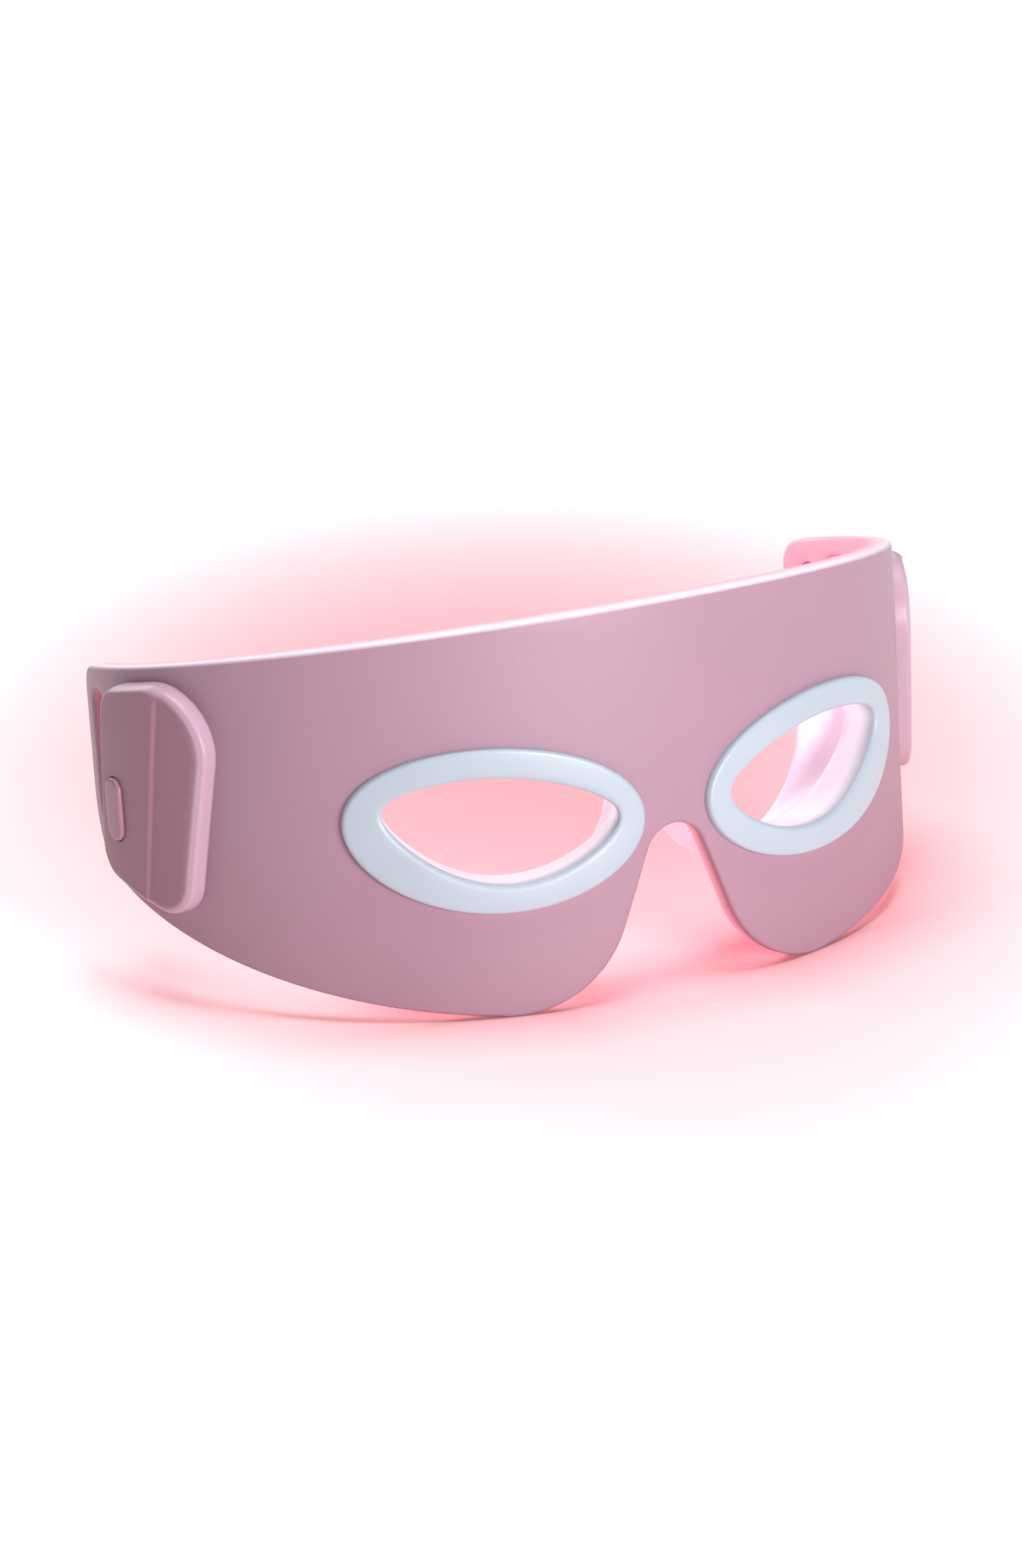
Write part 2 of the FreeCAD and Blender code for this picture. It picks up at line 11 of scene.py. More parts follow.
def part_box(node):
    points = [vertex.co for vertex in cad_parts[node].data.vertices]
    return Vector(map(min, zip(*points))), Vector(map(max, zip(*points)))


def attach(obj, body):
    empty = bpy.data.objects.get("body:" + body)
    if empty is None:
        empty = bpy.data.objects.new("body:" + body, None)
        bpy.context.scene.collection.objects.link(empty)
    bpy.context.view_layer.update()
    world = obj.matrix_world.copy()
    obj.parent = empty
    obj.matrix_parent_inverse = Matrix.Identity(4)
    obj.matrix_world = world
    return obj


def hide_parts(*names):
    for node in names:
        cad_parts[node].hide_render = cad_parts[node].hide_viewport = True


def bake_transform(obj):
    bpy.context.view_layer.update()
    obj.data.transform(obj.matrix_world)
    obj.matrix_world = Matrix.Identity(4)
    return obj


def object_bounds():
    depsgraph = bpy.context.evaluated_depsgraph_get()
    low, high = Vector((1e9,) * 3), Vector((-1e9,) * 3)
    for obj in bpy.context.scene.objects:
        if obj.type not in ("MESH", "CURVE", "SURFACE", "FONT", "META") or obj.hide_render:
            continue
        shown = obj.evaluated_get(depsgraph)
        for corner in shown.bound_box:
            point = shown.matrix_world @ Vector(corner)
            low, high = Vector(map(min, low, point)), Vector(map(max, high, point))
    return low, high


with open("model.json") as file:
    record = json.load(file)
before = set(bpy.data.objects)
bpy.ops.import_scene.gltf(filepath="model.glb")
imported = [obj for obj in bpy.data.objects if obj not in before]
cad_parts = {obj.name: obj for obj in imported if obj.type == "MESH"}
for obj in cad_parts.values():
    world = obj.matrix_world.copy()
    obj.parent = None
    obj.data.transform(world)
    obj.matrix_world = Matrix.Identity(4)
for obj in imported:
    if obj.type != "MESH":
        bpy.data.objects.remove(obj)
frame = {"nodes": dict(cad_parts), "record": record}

# Looks of the light-therapy eye mask. Lengths are in millimetres until mesh_object() turns them
# into metres. A place on the band is (s, z, o): s is the arc length along the outer surface from
# the nose line, z is the height, and o is the distance outward from the outer surface.
MM = 0.001
CAD_BOX = [list(corner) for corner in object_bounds()]

# Band, as in the CAD: two arcs in plan, a sloping top plane and a sloping bottom plane.
FRONT_R, WING_R, FRONT_ARC = 95.0, 69.0, 39.1
FRONT_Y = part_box("front_shell")[0][1] / MM
END_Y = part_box("left_temple_shell")[1][1] / MM
BAND_T = 4.5
TOP_Z, TOP_SLOPE = 73.6, -0.18
BOTTOM_Z, BOTTOM_SLOPE = -1.6, 0.2875
END_R, END_LOW_R = 5.5, 16.0
EDGE_R = 0.75
NOTCH_APEX_Z, NOTCH_APEX_R = 31.8, 6.0
LOBE_R, LOBE_X, LOBE_Z = 22.0, 31.5, 0.0
LOBE_RISE = math.radians(5.6)
FLAT_S = 0.6
OUTLINE_STEP = 0.9

# Liner and its recess.
RIM = 3.4
RECESS_END_S, RECESS_CORNER_R = 119.3, 4.0
RECESS_O, RECESS_ROUND = -3.3, 0.8
LINER_O, LINER_BACK_O = -4.15, RECESS_O - 0.02
LINER_PLAY, LINER_ROUND = 0.12, 0.55

# Eyes.
EYE_S, EYE_Z = 34.0, 35.7
EYE_TILT = math.radians(3.2)

# Strap slot.
SLOT_S, SLOT_W, SLOT_Z0, SLOT_Z1 = 125.2, 6.6, 29.2, 55.0
SLOT_ROUND = 1.0

# Pods and button. The pod's corners are given by how far behind the band's front they lie, in the
# order low front, low rear, top rear and top front.
POD_PROUD = 4.2
POD_MARGIN_TOP, POD_MARGIN_BOTTOM = 3.0, 4.5
POD_CORNERS_BACK = (45.4, 70.8, 66.7, 35.7)
POD_CORNER_RADII = (7.0, 7.0, 6.5, 12.0)
BUTTON_S, BUTTON_Z, BUTTON_W, BUTTON_H = 111.0, 36.0, 5.0, 12.0
BUTTON_TOP = POD_PROUD + 0.9
CREASE_STEP, CREASE_W = 0.5, 0.5
CREASE_LOW_BACK, CREASE_TOP_BACK = 56.2, 48.0
# How far in from the pod's edge its painted highlight stays full, and over what width it fades out.
POD_HIGHLIGHT_END, POD_HIGHLIGHT_FADE = 1.7, 0.9

# Spacing of the points that carry flat areas of the meshes.
SKIN_GRID, RECESS_GRID, LINER_GRID, LINER_BACK_GRID, POD_GRID = 1.9, 3.5, 2.4, 4.0, 1.0

# The temples bend between these two places, half way up.
BEND_FROM_S, BEND_TO_S, BEND_Z = 64.0, 80.0, 36.0

THETA_1 = FRONT_ARC / FRONT_R
C1 = np.array([0.0, FRONT_Y + FRONT_R])
C2 = C1 + (FRONT_R - WING_R) * np.array([math.sin(THETA_1), -math.cos(THETA_1)])
LOBE_FALL = NOTCH_APEX_Z - NOTCH_APEX_R - LOBE_Z - LOBE_R
NOTCH_SPAN = math.hypot(LOBE_X, LOBE_FALL)
NOTCH_LEAN = math.acos((NOTCH_APEX_R + LOBE_R) / NOTCH_SPAN) - math.atan2(LOBE_FALL, LOBE_X)


# ---------------------------------------------------------------- the band as a surface

def place(s, z, o):
    """Points on the +X half of the band; the first FLAT_S from the nose line lies flat."""
    s, z, o = np.broadcast_arrays(np.asarray(s, float), np.asarray(z, float), np.asarray(o, float))
    near = s <= FRONT_ARC
    angle = np.where(near, s / FRONT_R, THETA_1 + (s - FRONT_ARC) / WING_R)
    centre_x = np.where(near, C1[0], C2[0])
    centre_y = np.where(near, C1[1], C2[1])
    radius = np.where(near, FRONT_R, WING_R) + o
    x = centre_x + radius * np.sin(angle)
    y = centre_y - radius * np.cos(angle)
    flat = s <= FLAT_S
    x = np.where(flat, s, x)
    y = np.where(flat, FRONT_Y - o, y)
    return np.stack([x, y, z], axis=-1)


def normal_at(s):
    angle = s / FRONT_R if s <= FRONT_ARC else THETA_1 + (s - FRONT_ARC) / WING_R
    return np.array([math.sin(angle), -math.cos(angle), 0.0])


def tangent_at(s):
    n = normal_at(s)
    return np.array([-n[1], n[0], 0.0])


def s_of_y(y):
    return FRONT_ARC + WING_R * (np.arccos((C2[1] - y) / WING_R) - THETA_1)


def s_of_x(x):
    return FRONT_R * np.arcsin(np.asarray(x) / FRONT_R)


def y_of_s(s):
    return place(s, 0, 0)[..., 1]


def top_z(y):
    return TOP_Z + TOP_SLOPE * (y - FRONT_Y)


def bottom_z(y):
    return BOTTOM_Z + BOTTOM_SLOPE * (y - FRONT_Y)


def at_offset(o):
    """Maps plan points (s, z) to space at one distance from the outer surface."""
    return lambda plan: place(plan[:, 0], plan[:, 1], o)


def arc(centre, radius, a, b, count):
    t = np.linspace(a, b, count)
    return np.stack([centre[0] + radius * np.cos(t), centre[1] + radius * np.sin(t)], axis=1)


def resample(points, step):
    """Even spacing along a polyline, both ends kept."""
    gaps = np.linalg.norm(np.diff(points, axis=0), axis=1)
    along = np.concatenate([[0], np.cumsum(gaps)])
    count = max(3, int(round(along[-1] / step)) + 1)
    even = np.linspace(0, along[-1], count)
    return np.stack([np.interp(even, along, points[:, 0]), np.interp(even, along, points[:, 1])], axis=1)


def half_outline():
    """Outline of the band's half in (s, z), from the top at the nose line round to the notch apex."""
    top_n = np.array([-TOP_SLOPE, 1.0]) / math.hypot(TOP_SLOPE, 1)
    low_n = np.array([BOTTOM_SLOPE, -1.0]) / math.hypot(BOTTOM_SLOPE, 1)
    high_y, low_y = END_Y - END_R, END_Y - END_LOW_R
    high_c = (high_y, top_z(high_y) - END_R * math.hypot(TOP_SLOPE, 1))
    low_c = (low_y, bottom_z(low_y) + END_LOW_R * math.hypot(BOTTOM_SLOPE, 1))
    high = arc(high_c, END_R, math.atan2(top_n[1], top_n[0]), 0, 14)
    low = arc(low_c, END_LOW_R, 0, math.atan2(low_n[1], low_n[0]), 30)
    tail = np.concatenate([high, low])
    tail[:, 0] = s_of_y(tail[:, 0])
    lobe_c = (LOBE_X, LOBE_Z + LOBE_R)
    lobe = arc(lobe_c, LOBE_R, LOBE_RISE - math.pi / 2, NOTCH_LEAN - math.pi, 60)
    apex_c = (0.0, NOTCH_APEX_Z - NOTCH_APEX_R)
    apex = arc(apex_c, NOTCH_APEX_R, NOTCH_LEAN, math.pi / 2, 30)
    notch = np.concatenate([lobe, apex])
    notch[:, 0] = s_of_x(notch[:, 0])
    s_top = np.linspace(0, tail[0, 0], 140)[:-1]
    top = np.stack([s_top, top_z(y_of_s(s_top))], axis=1)
    s_low = np.linspace(tail[-1, 0], notch[0, 0], 110)[1:-1]
    bottom = np.stack([s_low, bottom_z(y_of_s(s_low))], axis=1)
    line = resample(np.concatenate([top, tail, bottom, notch]), OUTLINE_STEP)
    line[0, 0] = line[-1, 0] = 0.0
    first, last = [FLAT_S, line[0, 1]], [FLAT_S, line[-1, 1]]
    return np.concatenate([line[:1], [first], line[1:-1], [last], line[-1:]])


def inward(line):
    """Unit normals of an open outline that point into the band; upright at the nose line."""
    t = np.gradient(line, axis=0)
    n = np.stack([t[:, 1], -t[:, 0]], axis=1)
    n /= np.linalg.norm(n, axis=1)[:, None]
    n[0] = n[1] = (0, -1)
    n[-1] = n[-2] = (0, 1)
    return n


def moved_in(line, d):
    """The outline moved into the band by d, never past the nose line."""
    out = line + inward(line) * d
    out[:, 0] = np.maximum(out[:, 0], 0)
    out[0, 0] = out[-1, 0] = 0
    out[1, 0] = out[-2, 0] = FLAT_S
    return out


# ---------------------------------------------------------------- mesh building

class Shell:
    """Collects vertices and faces of one piece."""

    def __init__(self):
        self.points = []
        self.faces = []

    def add(self, points):
        first = len(self.points)
        self.points.extend([tuple(p) for p in np.asarray(points, float)])
        return list(range(first, len(self.points)))

    def bridge(self, a, b, closed=True):
        count = len(a)
        for i in range(count if closed else count - 1):
            j = (i + 1) % count
            self.faces.append((a[i], a[j], b[j], b[i]))

    def stack(self, rings, closed=True):
        """Adds rings of points one after another with faces between them."""
        before = None
        ids = []
        for ring in rings:
            now = self.add(ring)
            if before is not None:
                self.bridge(before, now, closed)
            before = now
            ids.append(now)
        return ids

    def fill(self, loops, flats, spacing, lift, extra=None):
        """Triangles inside the first closed loop and outside the others, with a grid of new points.
        loops are lists of ids, flats are their plan positions, lift maps plan points to space, and
        extra holds more plan points to keep."""
        flat = np.concatenate(flats)
        ids = [i for loop in loops for i in loop]
        edges = []
        start = 0
        for loop in loops:
            edges += [(start + i, start + (i + 1) % len(loop)) for i in range(len(loop))]
            start += len(loop)
        grid = inner_grid(flats, spacing)
        if extra is not None:
            gap = np.min(np.linalg.norm(grid[:, None] - extra[None], axis=2), axis=1)
            grid = np.concatenate([grid[gap > spacing * 0.5], extra])
        ids = ids + self.add(lift(grid))
        every = np.concatenate([flat, grid])
        result = delaunay_2d_cdt([Vector(p) for p in every], edges, [], 1, 1e-7)
        origin = [group[0] for group in result[3]]
        tris = np.array([[origin[i] for i in tri] for tri in result[2]])
        keep = ~inside(every[tris].mean(axis=1), flats[1:])
        for tri in tris[keep]:
            self.faces.append(tuple(ids[i] for i in tri))


def inside(points, loops):
    """Even-odd test of plan points against closed loops."""
    hit = np.zeros(len(points), bool)
    for loop in loops:
        a, b = loop, np.roll(loop, -1, axis=0)
        for (x0, y0), (x1, y1) in zip(a, b):
            if y0 == y1:
                continue
            crosses = (points[:, 1] > min(y0, y1)) & (points[:, 1] <= max(y0, y1))
            x = x0 + (points[:, 1] - y0) * (x1 - x0) / (y1 - y0)
            hit ^= crosses & (points[:, 0] < x)
    return hit


def inner_grid(loops, spacing):
    """Grid points inside the loops, in rows staggered like a triangle pattern, none too close to
    an edge or to the nose line."""
    every = np.concatenate(loops)
    low, high = every.min(axis=0), every.max(axis=0)
    rows = np.arange(low[1], high[1], spacing * 0.87)
    points = []
    for k, z in enumerate(rows):
        x = np.arange(low[0] + (k % 2) * spacing / 2, high[0], spacing)
        points.append(np.stack([x, np.full(len(x), z)], axis=1))
    points = np.concatenate(points)
    points = points[inside(points, loops)]
    gap = np.min(np.linalg.norm(points[:, None] - every[None], axis=2), axis=1)
    points = points[gap > spacing * 0.55]
    return points[(points[:, 0] > low[0] + FLAT_S) | (low[0] > 1)]


def mesh_object(name, shell, side, cap=False):
    """Blender mesh of a shell built on +X; side -1 mirrors it to the wearer's right, and cap
    closes it where it is cut at the nose line."""
    points = np.array(shell.points) * MM
    points[:, 0] *= side
    mesh = bpy.data.meshes.new(name)
    mesh.from_pydata([tuple(p) for p in points], [], shell.faces)
    bm = bmesh.new()
    bm.from_mesh(mesh)
    bmesh.ops.remove_doubles(bm, verts=bm.verts, dist=2e-7)
    if cap:
        rim = [e for e in bm.edges if e.is_boundary]
        bmesh.ops.triangle_fill(bm, edges=rim, use_beauty=True)
        for edge in rim:
            edge.smooth = False
    bmesh.ops.recalc_face_normals(bm, faces=bm.faces)
    for face in bm.faces:
        face.smooth = True
    bm.to_mesh(mesh)
    bm.free()
    obj = bpy.data.objects.new(name, mesh)
    bpy.context.scene.collection.objects.link(obj)
    return obj


def rounding(radius, steps=6):
    """Quarter round as (inset, depth) pairs, from the face to the side."""
    turns = np.linspace(0, math.pi / 2, steps + 1)
    return [(radius * (1 - math.sin(t)), radius * (1 - math.cos(t))) for t in turns]


def clamp(value):
    return min(max(value, 0.0), 1.0)


def mark_points(obj, side, name, rule):
    """Stores a number per vertex under a name; rule gets the vertex's place on the +X half."""
    marks = obj.data.attributes.new(name, "FLOAT", "POINT")
    for i, vertex in enumerate(obj.data.vertices):
        marks.data[i].value = rule(np.array(vertex.co) / MM * [side, 1, 1])


def pill_outline(s, z, width, height, grow):
    """Upright pill around (s, z), grown outward on every side."""
    r = width / 2 + grow
    top = arc((s, z + height / 2 - width / 2), r, 0, math.pi, 14)
    low = arc((s, z - height / 2 + width / 2), r, math.pi, 2 * math.pi, 14)
    side = np.linspace(0, 1, 8)[1:-1, None]
    left = top[-1] + (low[0] - top[-1]) * side
    right = low[-1] + (top[0] - low[-1]) * side
    return np.concatenate([top, left, low, right])


# ---------------------------------------------------------------- eyes

EYE_N, EYE_T = normal_at(EYE_S), tangent_at(EYE_S)
EYE_AT = place(EYE_S, EYE_Z, 0)
TURN = np.linspace(0, 2 * math.pi, 160, endpoint=False)


def almond(a, b, pinch=0.0, lift=0.0, shift=0.0, drop=0.0, lean=0.0):
    """Eye outline across the eye axis: half width a, half height b, corners raised by lift, the
    whole moved by shift and drop, and lean raising the temple side over the nose side."""
    c, s = np.cos(TURN), np.sin(TURN)
    u = a * c + shift
    w = b * s * (1 - pinch * c ** 2) + lift * c ** 2 + lean * c - drop
    tilt_u = u * math.cos(EYE_TILT) - w * math.sin(EYE_TILT)
    tilt_w = u * math.sin(EYE_TILT) + w * math.cos(EYE_TILT)
    return np.stack([tilt_u, tilt_w], axis=1)


def mix(p, q, k):
    return p * (1 - k) + q * k


def surface_depth(u, o):
    """How far behind the eye plane the band's offset surface lies at lateral place u."""
    near = FRONT_R - np.sqrt((FRONT_R + o) ** 2 - u ** 2)
    from_c2 = EYE_AT[:2] - C2
    along, across = from_c2 @ EYE_N[:2], from_c2 @ EYE_T[:2]
    far = along - np.sqrt((WING_R + o) ** 2 - (across + u) ** 2)
    return np.where(u > FRONT_R * math.sin((FRONT_ARC - EYE_S) / FRONT_R), far, near)


def eye_points(line, depth):
    """Space points of an eye outline at a depth behind the eye plane."""
    depth = np.broadcast_to(depth, len(line))
    up = np.array([0, 0, 1.0])
    return EYE_AT + line[:, :1] * EYE_T + line[:, 1:] * up - depth[:, None] * EYE_N


def on_band(line, o):
    return eye_points(line, surface_depth(line[:, 0], o))


def s_outline(line):
    """Eye outline as (s, z) on the band's outer surface."""
    near = np.clip(line[:, 0] / FRONT_R, -1, 1)
    s = EYE_S + FRONT_R * np.arcsin(near)
    from_c2 = EYE_AT[:2] - C2
    across = from_c2 @ EYE_T[:2]
    beyond = np.arcsin(np.clip((across + line[:, 0]) / WING_R, -1, 1)) - math.asin(across / WING_R)
    edge = FRONT_R * math.sin((FRONT_ARC - EYE_S) / FRONT_R)
    start = np.arcsin((across + edge) / WING_R) - math.asin(across / WING_R)
    s = np.where(line[:, 0] > edge, FRONT_ARC + WING_R * (beyond - start), s)
    return np.stack([s, EYE_Z + line[:, 1]], axis=1)


FLANGE = almond(27.4, 15.3, lift=0.7, drop=0.4, lean=0.2)
MOUTH = almond(21.4, 9.85, pinch=0.24, lift=2.3, shift=-1.0, drop=0.55, lean=0.9)
BORE = almond(21.2, 10.7, pinch=0.26, lift=2.4, shift=-0.9, drop=0.6, lean=0.7)
TUBE = almond(23.6, 11.7)
SKIN_HOLE = almond(24.1, 12.1)
LINER_HOLE = almond(25.7, 13.8)

# Ring sections: (share of the way from flange to mouth, height over the band), then (share of the
# way from mouth to bore, fall behind the mouth), then (share from tube to bore, depth).
RING_FACE = ((0.0, -0.1), (0.0, 0.7), (0.008, 1.0), (0.03, 1.25), (0.07, 1.38), (0.13, 1.42), (0.4, 1.42),
             (0.7, 1.41), (0.84, 1.36), (0.91, 1.24), (0.96, 1.02), (0.99, 0.74), (1.0, 0.4))
RING_THROAT = ((0.08, 0.5), (0.2, 1.1), (0.36, 1.9), (0.55, 2.9), (0.75, 4.1), (0.9, 5.4))
RING_LIP = ((1.0, 7.4), (0.97, 8.7), (0.88, 9.2), (0.7, 9.42), (0.45, 9.5), (0.3, 9.5))
# Depth down the bore at which the painted glow is full.
BORE_GLOW_DEPTH = 3.0

# Cup, as depths behind the eye plane: its start behind the band, its waist outside and inside, its
# rim at the face, the roundness of that rim, and its step inside from waist to neck.
CUP_START, CUP_WAIST, CUP_INNER_WAIST, CUP_RIM = 5.2, 10.5, 11.5, 19.8
CUP_SWELL, CUP_RIM_ROUND = 0.35, 1.15
CUP_STEP = ((0.3, 10.9), (0.7, 10.3), (1.0, 9.7))


def eye_ring(side, name):
    """Pearl bezel: flat flange on the band, turned into a pointed almond bore with a soft lip."""
    ring = Shell()
    loops = []
    for across, o in RING_FACE:
        loops.append(on_band(mix(FLANGE, MOUTH, across), o))
    start = surface_depth(MOUTH[:, 0], 0.4)
    for k, fall in RING_THROAT:
        even = fall / RING_THROAT[-1][1]
        depth = (start + fall) * (1 - even) + (fall + 0.6) * even
        loops.append(eye_points(mix(MOUTH, BORE, k), depth))
    for k, depth in RING_LIP:
        loops.append(eye_points(mix(TUBE, BORE, k), depth))
    for depth in (9.4, 7.5, 6.4):
        loops.append(eye_points(TUBE, depth))
    loops.append(on_band(TUBE, -0.2))
    loops.append(on_band(mix(TUBE, FLANGE, 0.8), -0.15))
    ids = ring.stack(loops)
    ring.bridge(ids[-1], ids[0])
    obj = mesh_object(name, ring, side)
    light_bore(obj, side)
    return obj


def light_bore(obj, side):
    """Marks how far down the bore each point of a ring lies, from 0 on the flange to 1, for its painted glow.
    """
    def fallen(point):
        p = point - EYE_AT
        u, depth = p @ EYE_T, -p @ EYE_N
        fall = depth - float(surface_depth(np.array(u), 0.6))
        return clamp(fall / BORE_GLOW_DEPTH)

    mark_points(obj, side, "lit", fallen)


def eye_cup(side, name):
    """Soft cup behind the band that opens to a rounder rim for the eye socket."""
    cup = Shell()
    neck_out, neck_in = almond(25.5, 13.6), almond(23.75, 11.8)
    waist_out, waist_in = almond(25.0, 15.2), almond(23.3, 13.4)
    rim_out, rim_in = almond(22.5, 19.0, shift=-1.2), almond(21.0, 17.4, shift=-1.2)
    loops = []
    for k in np.linspace(0, 1, 5):
        loops.append(eye_points(mix(neck_out, waist_out, k * k), mix(CUP_START, CUP_WAIST, k)))
    for k in np.linspace(0, 1, 8)[1:]:
        swell = CUP_SWELL * math.sin(math.pi * k)
        line = mix(waist_out, rim_out, k)
        loops.append(eye_points(line * (1 + swell / 20), mix(CUP_WAIST, CUP_RIM, k)))
    for t in np.linspace(-1, 1, 9)[1:-1]:
        line = mix(rim_out, rim_in, 0.5 + 0.5 * math.sin(t * math.pi / 2))
        loops.append(eye_points(line, CUP_RIM + CUP_RIM_ROUND * math.cos(t * math.pi / 2)))
    for k in np.linspace(0, 1, 8):
        swell = CUP_SWELL * math.sin(math.pi * k)
        line = mix(rim_in, waist_in, k)
        loops.append(eye_points(line * (1 + swell / 20), mix(CUP_RIM, CUP_INNER_WAIST, k)))
    for k, depth in CUP_STEP:
        loops.append(eye_points(mix(waist_in, neck_in, k), depth))
    loops.append(eye_points(neck_in, 5.6))
    ids = cup.stack(loops)
    cup.bridge(ids[-1], ids[0])
    return mesh_object(name, cup, side)


# ---------------------------------------------------------------- band skin and liner

def closed_half(upper, lower):
    """Plan positions of two open outlines joined at the nose line, outer first, inner backwards."""
    return np.concatenate([upper, lower[::-1]])


def slot_outline(grow):
    return pill_outline(SLOT_S, (SLOT_Z0 + SLOT_Z1) / 2, SLOT_W, SLOT_Z1 - SLOT_Z0, grow)


def through_band(outline_at, round_over):
    """Plans and rings of an outline taken through the band, rounded over at both faces."""
    sections = [(d, -depth) for d, depth in round_over]
    sections += [(d, -BAND_T + depth) for d, depth in round_over[::-1]]
    plans = [outline_at(d) for d, o in sections]
    rings = [at_offset(o)(plan) for plan, (d, o) in zip(plans, sections)]
    return plans, rings


def band_skin(side, name):
    """Half of the silicone skin, from the nose line to the end, with the eye hole and strap slot."""
    skin = Shell()
    edge = half_outline()
    recess = half_outline_inset(RIM)
    hole = s_outline(SKIN_HOLE)

    plans, rings = through_band(lambda d: moved_in(edge, d), rounding(EDGE_R))
    ids = skin.stack(rings, closed=False)
    slot_plans, slot_rings = through_band(slot_outline, rounding(SLOT_ROUND, 5))
    slot_ids = skin.stack(slot_rings)
    hole_ids = skin.stack([at_offset(o)(hole) for o in (0, -1.1, -2.2, RECESS_O)])
    front_loops = [ids[0], hole_ids[0], slot_ids[0]]
    skin.fill(front_loops, [plans[0], hole, slot_plans[0]], SKIN_GRID, at_offset(0))

    lip_plans = []
    lip_rings = []
    for d, depth in rounding(RECESS_ROUND, 4):
        lip_plans.append(moved_in(recess, -d))
        lip_rings.append(at_offset(-BAND_T + depth)(lip_plans[-1]))
    lip_rings.append(at_offset(RECESS_O)(recess))
    lip_ids = skin.stack(lip_rings, closed=False)
    back_loops = [ids[-1] + lip_ids[0][::-1], slot_ids[-1]]
    back_flats = [closed_half(plans[-1], lip_plans[0]), slot_plans[-1]]
    skin.fill(back_loops, back_flats, SKIN_GRID, at_offset(-BAND_T))
    skin.fill([lip_ids[-1], hole_ids[-1]], [recess, hole], RECESS_GRID, at_offset(RECESS_O))
    obj = mesh_object(name, skin, side, cap=True)
    light_edges(obj, side)
    return obj


def light_edges(obj, side):
    """Marks painted light on the skin: a painted highlight on its top and face side, and a painted pink
    glow for LED light on its face side, the inner half of its top and in the strap slot."""
    def where(point):
        """Nearness to the face side and the top, the painted glow's reach into the top, and if in the slot.
        """
        x, y, z = point
        hub, radius = (C1, FRONT_R) if y < C2[1] - WING_R * math.cos(THETA_1) else (C2, WING_R)
        depth = (radius - math.hypot(x - hub[0], y - hub[1])) / BAND_T
        inner = clamp((depth - 0.6) / 0.3)
        on_top = clamp((z - top_z(y) + EDGE_R) / EDGE_R)
        top_glow = clamp((depth - 0.25) / 0.35)
        in_slot = y > END_Y - 12 and SLOT_Z0 - 1 < z < SLOT_Z1 + 1 and 0.1 < depth < 0.9
        return inner, on_top, top_glow, in_slot

    def lit(point):
        inner, on_top, top_glow, in_slot = where(point)
        # Painted glow: faint in the strap slot, full on the face side and on the top's inner half.
        return 0.25 if in_slot else max(inner, 0.9 * on_top * top_glow)

    def painted_highlight(point):
        inner, on_top, top_glow, in_slot = where(point)
        # Painted highlight on the top and the face side, less where the painted glow is.
        return 0.0 if in_slot else inner + on_top * (1.0 - 0.75 * top_glow - inner)

    mark_points(obj, side, "lit", lit)
    mark_points(obj, side, "painted_highlight", painted_highlight)


def half_outline_inset(inset):
    """The recess outline: the band's outline drawn in, and stopped before the strap slot."""
    line = moved_in(half_outline(), inset)
    limit = RECESS_END_S
    keep = line[:, 0] < limit
    first_out = int(np.argmax(~keep))
    last_out = len(keep) - int(np.argmax(~keep[::-1]))
    top, low = line[:first_out], line[last_out:]
    r = RECESS_CORNER_R
    high_c = (limit - r, np.interp(limit - r, top[:, 0], top[:, 1]) - r)
    low_c = (limit - r, np.interp(limit - r, low[::-1, 0], low[::-1, 1]) + r)
    top = top[top[:, 0] < limit - r - 0.5]
    low = low[low[:, 0] < limit - r - 0.5]
    turn = np.concatenate([arc(high_c, r, math.pi / 2, 0, 7), arc(low_c, r, 0, -math.pi / 2, 7)])
    turn = resample(turn, 1.0)
    return np.concatenate([top, turn, low])


def liner(side, name):
    """Half of the pink liner that fills the recess on the face side."""
    sheet = Shell()
    outline = moved_in(half_outline_inset(RIM), LINER_PLAY)
    hole = s_outline(LINER_HOLE)
    plans = []
    rings = []
    for d, depth in rounding(LINER_ROUND, 4):
        plans.append(moved_in(outline, d))
        rings.append(at_offset(LINER_O + depth)(plans[-1]))
    rings.append(at_offset(LINER_BACK_O)(outline))
    ids = sheet.stack(rings, closed=False)
    hole_ids = sheet.stack([at_offset(o)(hole) for o in (LINER_O, LINER_BACK_O)])
    sheet.fill([ids[0], hole_ids[0]], [plans[0], hole], LINER_GRID, at_offset(LINER_O))
    sheet.fill([ids[-1], hole_ids[-1]], [outline, hole], LINER_BACK_GRID, at_offset(LINER_BACK_O))
    return mesh_object(name, sheet, side, cap=True)


# Section of an LED window from its foot to its top: (radius, rise over the liner).
LENS_PROFILE = ((2.1, -0.12), (2.05, 0.06), (1.9, 0.17), (1.5, 0.25), (0.8, 0.29), (0.2, 0.3))

# Points of the LED nodes that lie closer than this belong to one LED.
LED_REACH = 6


def lens_centres(*nodes):
    """Middle of each LED in the CAD nodes, in millimetres."""
    found = []
    for node in nodes:
        for v in frame["nodes"][node].data.vertices:
            p = np.array(v.co) / MM
            for group in found:
                if np.linalg.norm(group[0] - p) < LED_REACH:
                    group.append(p)
                    break
            else:
                found.append([p])
    return [np.mean(group, axis=0) for group in found]


